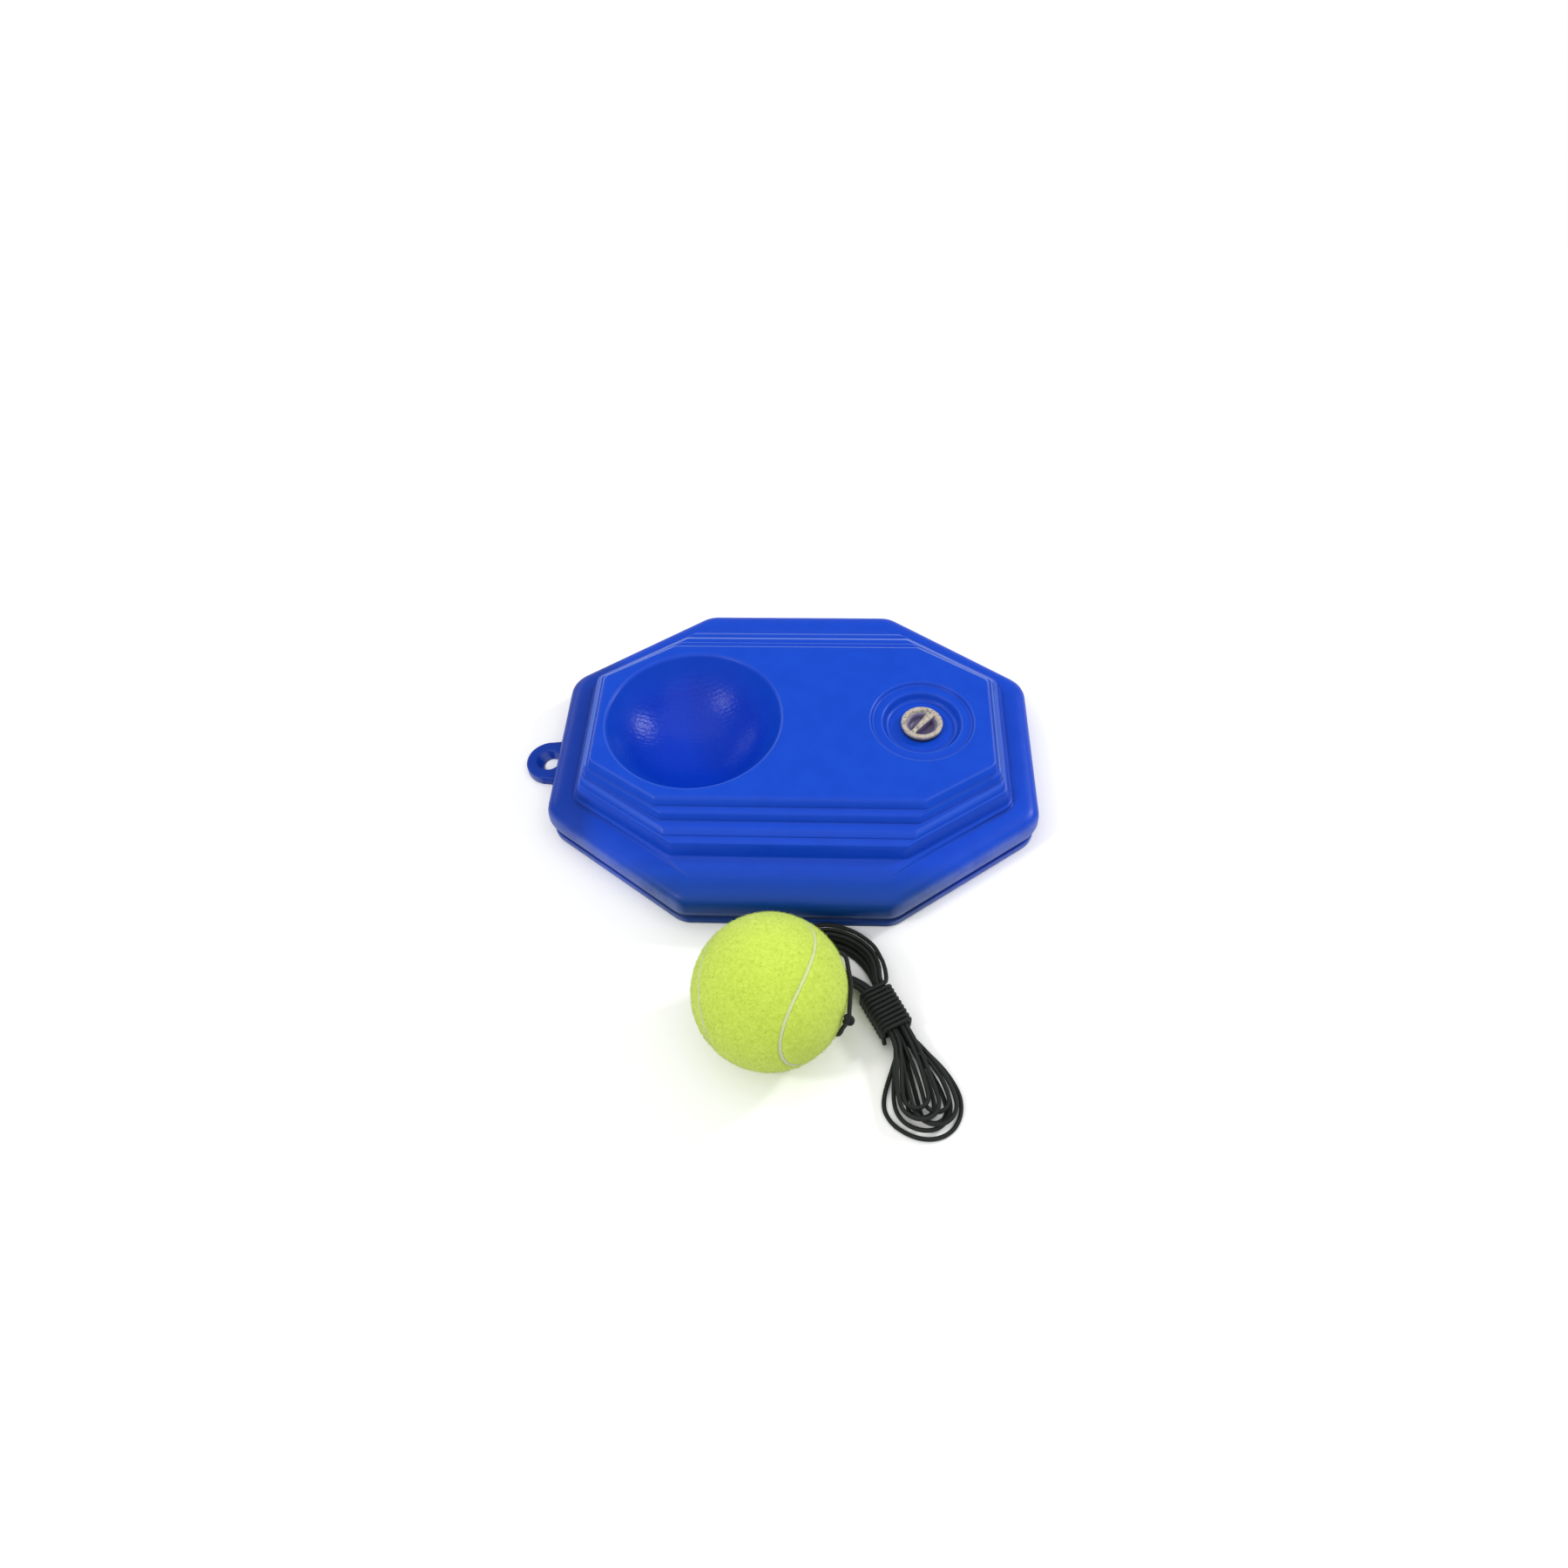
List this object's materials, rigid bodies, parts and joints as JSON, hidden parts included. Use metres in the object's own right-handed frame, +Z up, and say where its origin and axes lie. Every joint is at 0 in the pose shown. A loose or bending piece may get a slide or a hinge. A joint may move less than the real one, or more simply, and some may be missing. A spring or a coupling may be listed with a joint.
{
  "type": "tennis rebound trainer",
  "caption": "Stepped hollow base to fill with water or sand, with a bowl for its ball, a screw plug and a cord lug, and a felt ball on a hanked elastic cord.",
  "frame": {"origin": "middle of the base's flat underside, on the surface it stands on", "axes": "+X along the base away from the cord lug, +Y away from the ball, +Z up"},
  "size_m": [0.2573, 0.2959, 0.0651],
  "materials": {
    "base_plastic": "royal blue polyethylene, satin skin from the blow mould",
    "plug_plastic": "cream polyethylene, moulded",
    "gasket_rubber": "black rubber",
    "core_rubber": "dark grey moulded rubber",
    "ball_felt": "brushed yellow-green felt",
    "seam_cement": "pale seam rubber",
    "cord_braid": "black braided cover over elastic"
  },
  "bodies": {
    "base": {"base_shell": "base_plastic"},
    "plug_carrier": {"plug_gasket": "gasket_rubber"},
    "plug": {"filler_plug": "plug_plastic"},
    "ball": {"ball_core_half_a": "core_rubber", "ball_core_half_b": "core_rubber", "felt_panel_a": "ball_felt", "felt_panel_b": "ball_felt", "ball_seam": "seam_cement", "cord_lead": "cord_braid", "cord_knot": "cord_braid", "cord_tail": "cord_braid", "cord_stopper": "cord_braid", "cord_hank": "cord_braid", "cord_wrap": "cord_braid"}
  },
  "joints": [
    {"name": "plug_lift", "type": "slide", "parent": "base", "child": "plug_carrier", "axis": [0, 0, 1], "range_m": [0, 0.009]},
    {"name": "plug_turn", "type": "hinge", "parent": "plug_carrier", "child": "plug", "pos_m": [0.0628, 0, 0.036], "axis": [0, 0, 1], "range_deg": [0, 1080]},
    {"name": "ball_lift", "type": "slide", "parent": "base", "child": "ball", "axis": [0, 0, 1], "range_m": [0, 0.12]}
  ],
  "couplings": [
    {"joint": "plug_turn", "follows": "plug_lift", "rad_per_m": 2094.4}
  ]
}
